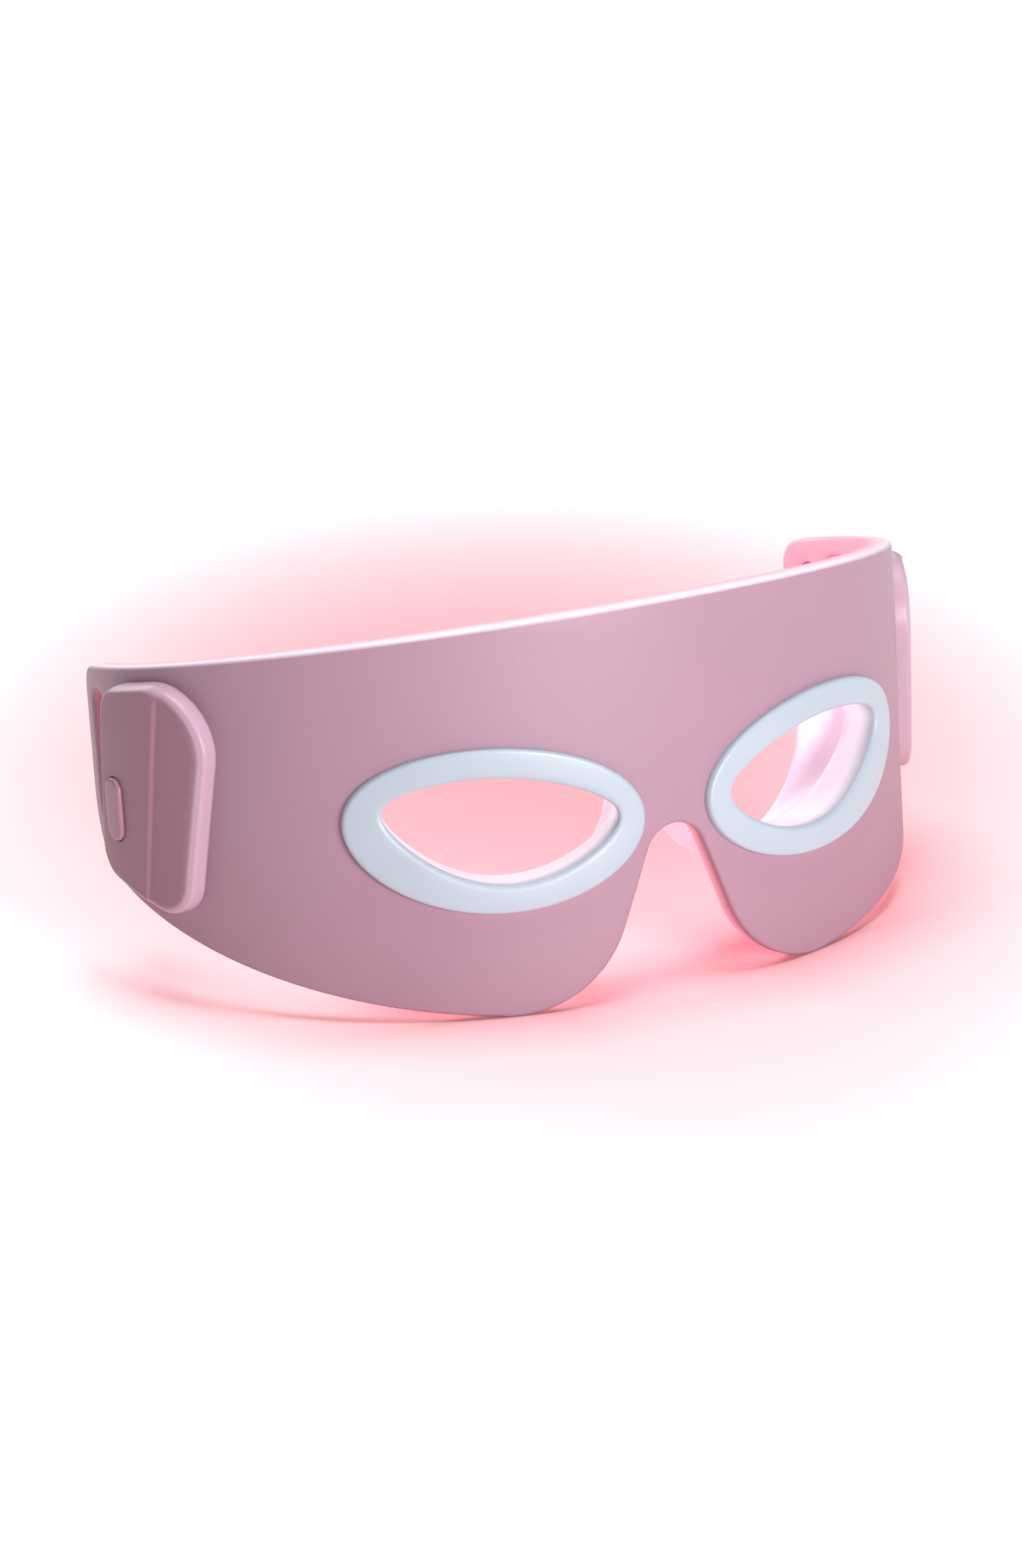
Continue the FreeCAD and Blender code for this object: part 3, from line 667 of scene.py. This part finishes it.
def lenses(name, *nodes):
    """Low round windows in the liner, one over each LED."""
    domes = Shell()
    for centre in lens_centres(*nodes):
        side = math.copysign(1, centre[0])
        flat = np.array([abs(centre[0]), centre[1]])
        hub = C1 if math.atan2(flat[0] - C1[0], C1[1] - flat[1]) < THETA_1 else C2
        out = (flat - hub) / np.linalg.norm(flat - hub)
        radius = (FRONT_R if hub is C1 else WING_R) + LINER_O
        base = hub + out * radius
        n = np.array([out[0] * side, out[1], 0])
        origin = np.array([base[0] * side, base[1], centre[2]])
        t = np.array([-n[1], n[0], 0])
        up = np.array([0, 0, 1.0])
        turns = np.linspace(0, 2 * math.pi, 20, endpoint=False)[:, None]
        rings = []
        for r, rise in LENS_PROFILE:
            rings.append(origin + r * (np.cos(turns) * t + np.sin(turns) * up) - n * rise)
        ids = domes.stack(rings)
        domes.faces.append(tuple(ids[-1]))
        domes.faces.append(tuple(ids[0]))
    return mesh_object(name, domes, 1)


# ---------------------------------------------------------------- pods and button

# Section of the well round the button, from the pod's face down: (growth past the button, sink).
WELL_PROFILE = ((0.4, 0.0), (0.26, 0.02), (0.16, 0.08), (0.12, 0.2), (0.12, 0.45))

# Section of the button from its lip to its face: (inset, sink below its top).
BUTTON_PROFILE = ((0.0, 2.4), (0.0, 0.65), (0.05, 0.43), (0.18, 0.25), (0.4, 0.12), (0.75, 0.04), (1.3, 0.0))


def pod_corners():
    """Corners of the pod in (y, z), set in from the band's sloping top and bottom."""
    low_front, low_rear, top_rear, top_front = [FRONT_Y + back for back in POD_CORNERS_BACK]
    return np.array([
        (low_front, bottom_z(low_front) + POD_MARGIN_BOTTOM),
        (low_rear, bottom_z(low_rear) + POD_MARGIN_BOTTOM),
        (top_rear, top_z(top_rear) - POD_MARGIN_TOP),
        (top_front, top_z(top_front) - POD_MARGIN_TOP),
    ])


def unit(v):
    return v / np.linalg.norm(v)


def pod_outline(inset):
    """Pod outline in (y, z), drawn in evenly, corners rounded."""
    corners = pod_corners()
    pieces = []
    for i, radius in enumerate(POD_CORNER_RADII):
        before, after = unit(corners[i - 1] - corners[i]), unit(corners[(i + 1) % 4] - corners[i])
        half = math.acos(float(before @ after)) / 2
        centre = corners[i] + unit(before + after) * (radius / math.sin(half))
        start, stop = np.array([-before[1], before[0]]), np.array([after[1], -after[0]])
        first = math.atan2(start[1], start[0])
        sweep = (math.atan2(stop[1], stop[0]) - first) % (2 * math.pi)
        pieces.append(arc(centre, radius - inset, first, first + sweep, 16))
    line = []
    for i in range(4):
        a, b = pieces[i][-1], pieces[(i + 1) % 4][0]
        line += [pieces[i], a + (b - a) * np.linspace(0, 1, 60)[1:-1, None]]
    return np.concatenate(line)


def crease_y(z):
    """Line where the rear facet of the pod steps up from the front facet, leaning forward."""
    low, high = bottom_z(FRONT_Y + 52), top_z(FRONT_Y + 50)
    return FRONT_Y + CREASE_LOW_BACK + (CREASE_TOP_BACK - CREASE_LOW_BACK) * (z - low) / (high - low)


def pod_lift(y, z, o):
    """Space points of pod places given in (y, z) at a height o over the band. Toward the face, the
    part in front of the crease lies a step lower and falls away slightly."""
    full = np.clip((o / POD_PROUD - 0.55) / 0.4, 0, 1) ** 2
    gap = y - crease_y(z)
    step = -CREASE_STEP * np.clip(0.5 - gap / CREASE_W, 0, 1)
    fall = -0.03 * np.maximum(-gap - CREASE_W, 0)
    o = o + full * (step + fall)
    angle = np.arccos(np.clip((C2[1] - y) / (WING_R + POD_PROUD / 2), -1, 1))
    radius = WING_R + o
    return np.stack([C2[0] + radius * np.sin(angle), C2[1] - radius * np.cos(angle), z], axis=-1)


def crease_points(inset):
    """Rows of points that keep the crease crisp across the pod's face."""
    face = pod_outline(inset)
    z = np.arange(face[:, 1].min(), face[:, 1].max(), 0.5)
    rows = [np.stack([crease_y(z) + k * CREASE_W, z], axis=1) for k in (-1.3, -0.5, 0.0, 0.5, 1.3)]
    rows = np.concatenate(rows)
    return rows[inside(rows, [face])]


def side_profile():
    """Pod section from its foot to its face as (inset, height): steep side, soft shoulder."""
    shoulder = 1.4
    turns = np.linspace(0, math.pi / 2, 10)
    drop = 2.6
    round_over = [(0.15 + shoulder * (1 - math.cos(t)), POD_PROUD - drop * (1 - math.sin(t))) for t in turns]
    return [(0.0, -0.15), (0.03, 0.5), (0.1, 1.2)] + round_over + [(shoulder + 0.6, POD_PROUD)]


def pod_cover(side, name, with_button):
    """Soft-edged pod cover with its creased face."""
    pod = Shell()
    rings = []
    plans = []
    for inset, o in side_profile():
        line = pod_outline(inset)
        plans.append(line)
        rings.append(pod_lift(line[:, 0], line[:, 1], o))
    ids = pod.stack(rings)
    loops, flats = [ids[-1]], [plans[-1]]
    if with_button:
        middle_y = float(y_of_s(BUTTON_S)) - 0.1
        wells = []
        for grow, sink in WELL_PROFILE:
            wells.append((pill_outline(middle_y, BUTTON_Z, BUTTON_W, BUTTON_H, grow), POD_PROUD - sink))
        well_ids = pod.stack([pod_lift(line[:, 0], line[:, 1], o) for line, o in wells])
        pod.faces.append(tuple(well_ids[-1]))
        loops.append(well_ids[0])
        flats.append(wells[0][0])

    def on_face(plan):
        return pod_lift(plan[:, 0], plan[:, 1], POD_PROUD)

    pod.fill(loops, flats, POD_GRID, on_face, crease_points(side_profile()[-1][0] + 0.3))
    base = pod_outline(0.4)
    back = pod.add(pod_lift(base[:, 0], base[:, 1], -0.2))
    pod.bridge(back, ids[0])
    pod.faces.append(tuple(back))
    obj = mesh_object(name, pod, side)
    edge = pod_outline(0)

    # Painted highlight along the pod's soft edges, fading inward.
    def near_edge(point):
        inset = float(np.min(np.linalg.norm(edge - point[1:], axis=1)))
        return clamp((POD_HIGHLIGHT_END - inset) / POD_HIGHLIGHT_FADE)

    mark_points(obj, side, "painted_highlight", near_edge)
    return obj


def power_button(name):
    """Pill button with a domed, soft-edged face, on the wearer's right pod."""
    knob = Shell()
    n, t = normal_at(BUTTON_S), tangent_at(BUTTON_S)
    origin = place(BUTTON_S, BUTTON_Z, 0)
    up = np.array([0, 0, 1.0])
    rings = []
    for inset, sink in BUTTON_PROFILE:
        line = pill_outline(0, 0, BUTTON_W, BUTTON_H, -inset)
        rings.append(origin + line[:, :1] * t + line[:, 1:] * up + n * (BUTTON_TOP - sink))
    ids = knob.stack(rings)
    knob.faces.append(tuple(ids[-1]))
    knob.faces.append(tuple(ids[0]))
    return mesh_object(name, knob, -1)


# ---------------------------------------------------------------- materials

def srgb(r, g, b):
    """Linear colour from 8-bit display values."""
    def one(v):
        v /= 255
        return v / 12.92 if v <= 0.04045 else ((v + 0.055) / 1.055) ** 2.4
    return (one(r), one(g), one(b), 1.0)


def shade(colour, k):
    return (colour[0] * k, colour[1] * k, colour[2] * k, 1.0)


def moulded(name, colour, rough, grain=0.02, grain_scale=900.0, cloud=0.06, **extra):
    """Moulded surface: faint cloudy tone, uneven gloss and a fine tooled grain."""
    mat = bpy.data.materials.new(name)
    mat.use_nodes = True
    tree = mat.node_tree
    nodes, links = tree.nodes, tree.links
    shader = nodes["Principled BSDF"]
    where = nodes.new("ShaderNodeTexCoord")
    soft = nodes.new("ShaderNodeTexNoise")
    soft.inputs["Scale"].default_value = 28.0
    soft.inputs["Detail"].default_value = 3.0
    tone = nodes.new("ShaderNodeValToRGB")
    tone.color_ramp.elements[0].position = 0.3
    tone.color_ramp.elements[0].color = shade(colour, 1 - cloud)
    tone.color_ramp.elements[1].position = 0.7
    tone.color_ramp.elements[1].color = shade(colour, 1 + cloud)
    gloss = nodes.new("ShaderNodeMapRange")
    gloss.inputs["To Min"].default_value = rough - 0.05
    gloss.inputs["To Max"].default_value = rough + 0.05
    fine = nodes.new("ShaderNodeTexNoise")
    fine.inputs["Scale"].default_value = grain_scale
    fine.inputs["Detail"].default_value = 2.0
    bump = nodes.new("ShaderNodeBump")
    bump.inputs["Strength"].default_value = grain
    bump.inputs["Distance"].default_value = 0.0004
    links.new(where.outputs["Object"], soft.inputs["Vector"])
    links.new(where.outputs["Object"], fine.inputs["Vector"])
    links.new(soft.outputs["Fac"], tone.inputs["Fac"])
    links.new(tone.outputs["Color"], shader.inputs["Base Color"])
    links.new(soft.outputs["Fac"], gloss.inputs["Value"])
    links.new(gloss.outputs["Result"], shader.inputs["Roughness"])
    links.new(fine.outputs["Fac"], bump.inputs["Height"])
    links.new(bump.outputs["Normal"], shader.inputs["Normal"])
    for key, value in extra.items():
        shader.inputs[key.replace("_", " ")].default_value = value
    return mat


def paint_edge_highlight(mat, colour):
    """Painted highlight: fades the surface to a paler colour where its highlight attribute says, on its
    edges.
    """
    nodes, links = mat.node_tree.nodes, mat.node_tree.links
    tint = nodes["Principled BSDF"].inputs["Base Color"]
    painted_highlight = nodes.new("ShaderNodeAttribute")
    painted_highlight.attribute_name = "painted_highlight"
    fade = nodes.new("ShaderNodeMix")
    fade.data_type = "RGBA"
    first, second = [socket for socket in fade.inputs if socket.type == "RGBA"]
    second.default_value = colour
    links.new(tint.links[0].from_socket, first)
    links.new(painted_highlight.outputs["Fac"], fade.inputs["Factor"])
    links.new([socket for socket in fade.outputs if socket.type == "RGBA"][0], tint)
    return mat


def silicone():
    """Mauve silicone with a painted highlight on its top edge and painted pink glow on its face side and
    slot.
    """
    mat = moulded("mauve_silicone", srgb(150, 118, 133), 0.46, grain=0.05, grain_scale=1400.0, cloud=0.025,
                  Specular_IOR_Level=0.35, Emission_Color=srgb(255, 110, 140))
    # Painted pink glow where the skin's lit attribute says, standing in for LED light.
    glow_by_depth(mat, 0.5, 0.0)
    # Paler colour of the painted highlight along the skin's top and face side.
    return paint_edge_highlight(mat, srgb(218, 204, 216))


def pod_plastic():
    """Satin plastic of the pods, set darker than the band as painted shade on their faces, with a
    painted highlight on their soft edges.
    """
    mat = moulded("pod_plastic", srgb(138, 98, 113), 0.38, grain=0.05, grain_scale=1400.0, cloud=0.02,
                  Specular_IOR_Level=0.3)
    # Colour of the painted highlight on the pods' edges.
    return paint_edge_highlight(mat, srgb(172, 142, 157))


def lit_silicone(name, colour, glow, strength, rough=0.5):
    """Silicone with a glow, a little patchy: on the cups and liner it is painted light for the LEDs'
    light falling on them, on the LEDs and their windows it is the LEDs' own light.
    """
    mat = moulded(name, colour, rough, grain=0.04, cloud=0.05)
    shader = mat.node_tree.nodes["Principled BSDF"]
    shader.inputs["Emission Color"].default_value = glow
    shader.inputs["Emission Strength"].default_value = strength
    return mat


def glow_by_depth(mat, strength, least=0.03):
    """Painted glow: emission on a piece only where its lit attribute says, such as deep in a bore."""
    nodes, links = mat.node_tree.nodes, mat.node_tree.links
    lit = nodes.new("ShaderNodeAttribute")
    lit.attribute_name = "lit"
    reach = nodes.new("ShaderNodeMapRange")
    reach.inputs["To Min"].default_value = least
    reach.inputs["To Max"].default_value = strength
    links.new(lit.outputs["Fac"], reach.inputs["Value"])
    links.new(reach.outputs["Result"], nodes["Principled BSDF"].inputs["Emission Strength"])
    return mat


def pearl():
    """Pearl silicone of the eye rings, with a painted glow down the bore and a faint one on the flange."""
    return glow_by_depth(lit_silicone("pearl_ring", srgb(152, 165, 175), srgb(255, 222, 232), 0.04, 0.4), 0.6)


def metal(name, colour, rough):
    """Plain metal with a fine grain."""
    return moulded(name, colour, rough, grain=0.03, grain_scale=2200.0, cloud=0.04, Metallic=1.0)


def board_material(name, colour):
    """Coated circuit board, a little uneven in tone."""
    return moulded(name, colour, 0.35, grain=0.08, grain_scale=700.0, cloud=0.12)


MATERIALS = {
    "silicone_mauve": silicone(),
    "pod_plastic": pod_plastic(),
    # The button is as dark as the pod faces, the same painted shade.
    "button_plastic": moulded("button_plastic", srgb(146, 106, 122), 0.38, grain=0.04, cloud=0.02),
    "base_plastic": moulded("base_plastic", srgb(170, 128, 146), 0.5, grain=0.08, cloud=0.03),
    "pearl": pearl(),
    # The cups' glow is painted light, standing in for LED light on them.
    "cup_silicone": lit_silicone("cup_silicone", srgb(222, 214, 230), srgb(255, 224, 238), 0.26, 0.42),
    # The liner's glow is painted pink light, standing in for the LEDs' light.
    "liner_pink": lit_silicone("liner_silicone", srgb(250, 170, 182), srgb(255, 110, 140), 0.9),
    "led_lens": lit_silicone("led_lens", srgb(240, 96, 116), srgb(255, 80, 105), 0.9, 0.25),
    "led_red": lit_silicone("led_red", srgb(230, 60, 60), srgb(255, 40, 50), 3.0, 0.25),
    "led_infrared": moulded("led_infrared", srgb(70, 24, 36), 0.2),
    "flex_board": board_material("flex_board", srgb(232, 228, 220)),
    "rigid_board": board_material("rigid_board", srgb(24, 92, 58)),
    "connector_plastic": moulded("connector_plastic", srgb(228, 222, 204), 0.45),
    "chip": moulded("chip_epoxy", srgb(28, 28, 30), 0.5, grain=0.2),
    "steel": metal("plated_steel", srgb(205, 205, 210), 0.28),
    "cell_foil": metal("cell_foil", srgb(190, 190, 196), 0.42),
}


def floor_material():
    """Pale floor with an oval pool of the mask's pink light painted into its colour."""
    mat = moulded("pale_floor", srgb(252, 250, 251), 0.8, grain=0.0, cloud=0.004)
    nodes, links = mat.node_tree.nodes, mat.node_tree.links
    shader = nodes["Principled BSDF"]
    shader.inputs["Specular IOR Level"].default_value = 0.1
    tone = shader.inputs["Base Color"].links[0].from_socket
    where = nodes.new("ShaderNodeTexCoord")
    oval = nodes.new("ShaderNodeMapping")
    oval.vector_type = "TEXTURE"
    oval.inputs["Location"].default_value = (0.066, 0.146, 0)
    oval.inputs["Rotation"].default_value = (0, 0, CAMERA_AZ + 0.1)
    oval.inputs["Scale"].default_value = (0.207, 0.44, 1)
    pool = nodes.new("ShaderNodeTexGradient")
    pool.gradient_type = "SPHERICAL"
    fade = nodes.new("ShaderNodeValToRGB")
    fade.color_ramp.interpolation = "EASE"
    fade.color_ramp.elements[0].color = (0, 0, 0, 1)
    fade.color_ramp.elements[0].position = 0.0
    fade.color_ramp.elements[1].color = (1, 1, 1, 1)
    fade.color_ramp.elements[1].position = 0.84
    tint = nodes.new("ShaderNodeMix")
    tint.data_type = "RGBA"
    colours = [socket for socket in tint.inputs if socket.type == "RGBA"]
    # Colour of the painted pool of pink light at its middle.
    colours[1].default_value = srgb(255, 160, 167)
    links.new(where.outputs["Object"], oval.inputs["Vector"])
    links.new(oval.outputs["Vector"], pool.inputs["Vector"])
    links.new(pool.outputs["Fac"], fade.inputs["Fac"])
    links.new(fade.outputs["Color"], tint.inputs["Factor"])
    links.new(tone, colours[0])
    links.new([socket for socket in tint.outputs if socket.type == "RGBA"][0], shader.inputs["Base Color"])
    return mat


# ---------------------------------------------------------------- putting it together

def finish_piece(obj, slot_name, body=None, replaces=(), look=None):
    """Gives a piece the material of its slot, or of look when given, hides the CAD nodes that it stands for,
    and parents it to the body it rides.
    """
    obj.data.materials.append(MATERIALS[look or slot_name])
    if replaces:
        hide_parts(*replaces)
    if body:
        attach(obj, body)
    return obj


def hinge_span(side):
    """Points before and after the temple's bend line, in metres."""
    out = []
    for s in (BEND_FROM_S, BEND_TO_S):
        p = place(s, BEND_Z, -BAND_T / 2)
        out.append((p[0] * side * MM, p[1] * MM, p[2] * MM))
    return out


def wing_blend(obj, side):
    """Bakes the placement of half of the skin or liner into its mesh; the span between the front and a temple
    is worked out but nothing bends.
    """
    start, end = hinge_span(side)
    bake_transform(obj)


def dress_cad_nodes():
    """Gives every carried-over CAD node its own finish."""
    slots = {part["node"]: part["material_slot"] for part in frame["record"]["subparts"]}
    for name, node in frame["nodes"].items():
        mat = MATERIALS.get(slots.get(name))
        if mat is None:
            continue
        if not node.material_slots:
            node.data.materials.append(mat)
        for entry in node.material_slots:
            entry.material = mat


def build_mask():
    """Every visible piece; the right half's skin and liner also stand for the front nodes."""
    for side, word in ((-1, "right"), (1, "left")):
        temple = word + "_temple"
        skin = finish_piece(band_skin(side, "skin_" + word), "silicone_mauve")
        shells = [temple + "_shell"] + (["front_shell"] if side < 0 else [])
        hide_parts(*shells)
        wing_blend(skin, side)
        sheet = finish_piece(liner(side, "liner_" + word), "liner_pink")
        liners = [temple + "_liner"] + (["front_liner"] if side < 0 else [])
        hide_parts(*liners)
        wing_blend(sheet, side)
        ring = eye_ring(side, "ring_" + word)
        finish_piece(ring, "pearl", "front", [word + "_eye_ring"])
        cup = eye_cup(side, "cup_" + word)
        finish_piece(cup, "cup_silicone", "front", [word + "_eye_cup"])
        finish_piece(lenses("lenses_" + word, temple + "_leds"), "liner_pink", temple, look="led_lens")
    front_lenses = lenses("lenses_front", "front_red_leds", "front_infrared_leds")
    finish_piece(front_lenses, "liner_pink", "front", look="led_lens")
    right_pod = pod_cover(-1, "pod_right", True)
    finish_piece(right_pod, "pod_plastic", "right_temple", ["control_pod_cover"])
    left_pod = pod_cover(1, "pod_left", False)
    finish_piece(left_pod, "pod_plastic", "left_temple", ["charge_pod_cover"])
    finish_piece(power_button("button_cap"), "button_plastic", "power_button", ["power_button"])


# ---------------------------------------------------------------- stage, camera and lights

TARGET = Vector((-17.8, FRONT_Y + 30.0, 35.95)) * MM
CAMERA_AZ, CAMERA_EL, CAMERA_ROLL = math.radians(-26.55), math.radians(15.38), math.radians(3.64)
CAMERA_DISTANCE = 0.9027
CAMERA_LENS = 112.4


def camera_axes():
    level = math.cos(CAMERA_EL)
    back = Vector((math.sin(CAMERA_AZ) * level, -math.cos(CAMERA_AZ) * level, math.sin(CAMERA_EL)))
    right = Vector((math.cos(CAMERA_AZ), math.sin(CAMERA_AZ), 0))
    up = back.cross(right)
    turned = right * math.cos(CAMERA_ROLL) - up * math.sin(CAMERA_ROLL)
    return turned, back.cross(turned), back


def add_camera():
    right, up, back = camera_axes()
    data = bpy.data.cameras.new("camera")
    data.lens = CAMERA_LENS
    camera = bpy.data.objects.new("camera", data)
    spin = Matrix((right, up, back)).transposed().to_4x4()
    camera.matrix_world = Matrix.Translation(TARGET + back * CAMERA_DISTANCE) @ spin
    bpy.context.scene.collection.objects.link(camera)
    bpy.context.scene.camera = camera


def area_light(name, at, aim, size, power, colour):
    data = bpy.data.lights.new(name, "AREA")
    data.shape = "RECTANGLE"
    data.size, data.size_y = size
    data.energy = power
    data.color = colour
    light = bpy.data.objects.new(name, data)
    light.location = at
    light.rotation_euler = (Vector(aim) - Vector(at)).to_track_quat("-Z", "Y").to_euler()
    bpy.context.scene.collection.objects.link(light)


def add_lights():
    """Soft front light, a rim light from behind, the LEDs' faint spill and a wide overhead sun."""
    middle = (0, 0, 0.036)
    area_light("key_front", at=(0.08, -1.22, 0.22), aim=middle, size=(0.45, 0.45), power=18.5,
               colour=(0.97, 0.985, 1))
    area_light("back_rim", at=(0.1, 1.0, 0.6), aim=middle, size=(1.4, 0.4), power=8.0,
               colour=(1, 0.985, 0.99))
    area_light("led_glow", at=(0, 0.012, 0.04), aim=(0.02, 0.3, -0.02), size=(0.09, 0.04), power=0.02,
               colour=(1, 0.28, 0.36))
    sun = bpy.data.lights.new("overhead", "SUN")
    sun.energy = 3.2
    sun.angle = math.radians(40)
    sun.color = (1, 0.99, 0.995)
    lamp = bpy.data.objects.new("overhead", sun)
    bpy.context.scene.collection.objects.link(lamp)


def add_stage():
    """Pale floor just under the mask, 12 m square, and a dim, even world."""
    size = 6.0
    mesh = bpy.data.meshes.new("floor")
    corners = [(-size, -size, 0), (size, -size, 0), (size, size, 0), (-size, size, 0)]
    mesh.from_pydata(corners, [], [(0, 1, 2, 3)])
    floor = bpy.data.objects.new("floor", mesh)
    floor.location.z = CAD_BOX[0][2] - 0.0002
    bpy.context.scene.collection.objects.link(floor)
    floor.data.materials.append(floor_material())
    world = bpy.data.worlds.new("studio")
    world.use_nodes = True
    world.node_tree.nodes["Background"].inputs["Color"].default_value = (1.0, 0.985, 0.99, 1)
    world.node_tree.nodes["Background"].inputs["Strength"].default_value = 0.04
    bpy.context.scene.world = world


bpy.context.scene.view_settings.view_transform = "Standard"
dress_cad_nodes()
build_mask()
add_stage()
add_camera()
add_lights()
